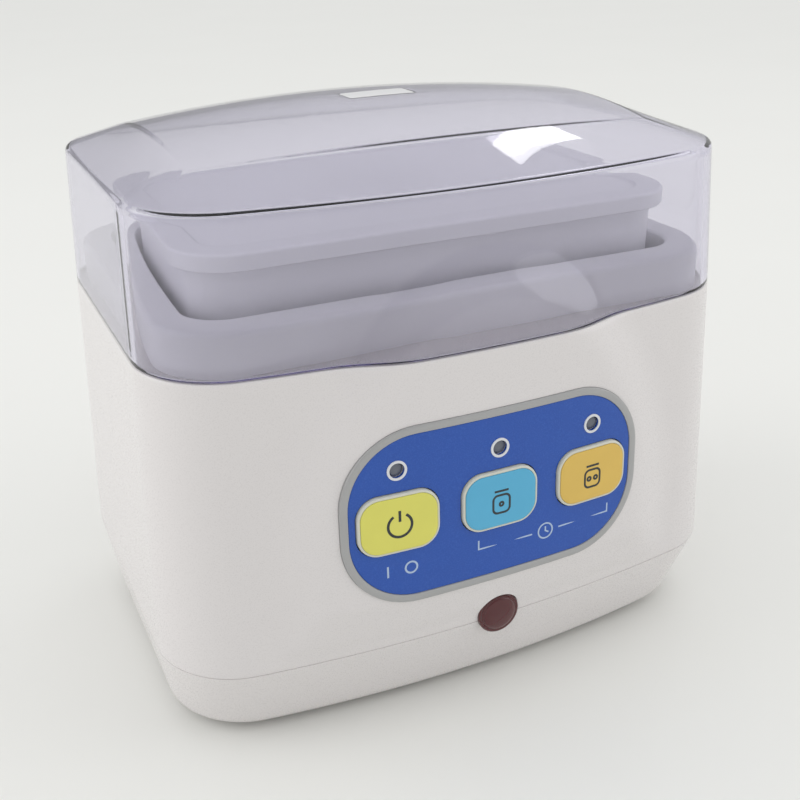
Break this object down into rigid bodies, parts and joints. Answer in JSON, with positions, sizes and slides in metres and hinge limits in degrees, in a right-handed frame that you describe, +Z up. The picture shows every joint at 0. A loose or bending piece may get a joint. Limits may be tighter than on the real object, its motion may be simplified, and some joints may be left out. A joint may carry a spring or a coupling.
{
  "type": "yogurt maker",
  "caption": "Electric yogurt maker: white bowed case with a raised front arch and key panel, tinted clear lid and a covered inner container.",
  "frame": {"origin": "centre of the overall bounding box, on the plane the rubber feet stand on", "axes": "+Z up; the control panel faces -Y; +X is to the right of a person facing the panel"},
  "size_m": [0.225, 0.1701, 0.208],
  "materials": {
    "case_white": "glossy moulded, warm white",
    "liner_white": "satin moulded white",
    "container_white": "satin food-grade white",
    "rubber_grey": "matt",
    "steel": "zinc plated",
    "aluminium": "satin",
    "silicone_red": "silicone rubber",
    "panel_silver": "satin silver",
    "panel_blue": "printed film, blue",
    "ring_white": "glossy",
    "led_lens": "diffused light, unlit",
    "black_plastic": "matt",
    "board_green": "circuit board",
    "terminal_green": "moulded",
    "pilot_red": "dark red translucent lens",
    "lamp_glass": "clear",
    "core_steel": "laminated",
    "coil_yellow": "taped winding",
    "inlet_black": "moulded",
    "brass_pin": "plated",
    "lead_black": "insulated lead",
    "lead_red": "silicone lead",
    "ribbon_grey": "flat cable",
    "lid_clear": "clear plastic with a faint smoky violet tint",
    "badge_white": "blank plate",
    "key_white": "moulded",
    "label_yellow": "printed yellow",
    "label_cyan": "printed light blue",
    "label_amber": "printed amber"
  },
  "bodies": {
    "case": {"body_shell": "case_white", "base_tray": "case_white", "rubber_feet": "rubber_grey", "base_screws": "steel", "chamber_liner": "liner_white", "liner_screws": "steel", "heat_plate": "aluminium", "foil_heater": "silicone_red", "sensor_bracket": "steel", "panel_frame": "panel_silver", "panel_overlay": "panel_blue", "led_rings": "ring_white", "indicator_leds": "led_lens", "switches": "black_plastic", "control_board": "board_green", "control_chips": "black_plastic", "control_board_screws": "steel", "pilot_lens": "pilot_red", "pilot_lamp": "lamp_glass", "pilot_holder": "liner_white", "power_board": "board_green", "power_parts": "black_plastic", "power_board_screws": "steel", "terminal_blocks": "terminal_green", "transformer_core": "core_steel", "transformer_coil": "coil_yellow", "mains_inlet": "inlet_black", "inlet_pins": "brass_pin", "mains_leads": "lead_black", "heater_leads": "lead_red", "ribbon_cable": "ribbon_grey"},
    "container": {"container": "container_white"},
    "cover": {"container_cover": "container_white"},
    "lid": {"lid": "lid_clear", "lid_badge": "badge_white"},
    "power_key": {"power_button": "key_white", "power_label": "label_yellow", "power_plunger": "black_plastic"},
    "mode_a_key": {"mode_a_button": "key_white", "mode_a_label": "label_cyan", "mode_a_plunger": "black_plastic"},
    "mode_b_key": {"mode_b_button": "key_white", "mode_b_label": "label_amber", "mode_b_plunger": "black_plastic"}
  },
  "joints": [
    {"name": "container_lift", "type": "slide", "parent": "case", "child": "container", "axis": [0, 0, 1], "range_m": [0, 0.11]},
    {"name": "cover_lift", "type": "slide", "parent": "container", "child": "cover", "axis": [0, 0, 1], "range_m": [0, 0.04]},
    {"name": "lid_lift", "type": "slide", "parent": "cover", "child": "lid", "axis": [0, 0, 1], "range_m": [0, 0.07]},
    {"name": "power_press", "type": "slide", "parent": "case", "child": "power_key", "axis": [0, 1, 0], "range_m": [0, 0.0005], "stiffness_N_per_m": 2000},
    {"name": "mode_a_press", "type": "slide", "parent": "case", "child": "mode_a_key", "axis": [0, 1, 0], "range_m": [0, 0.0005], "stiffness_N_per_m": 2000},
    {"name": "mode_b_press", "type": "slide", "parent": "case", "child": "mode_b_key", "axis": [0, 1, 0], "range_m": [0, 0.0005], "stiffness_N_per_m": 2000}
  ]
}
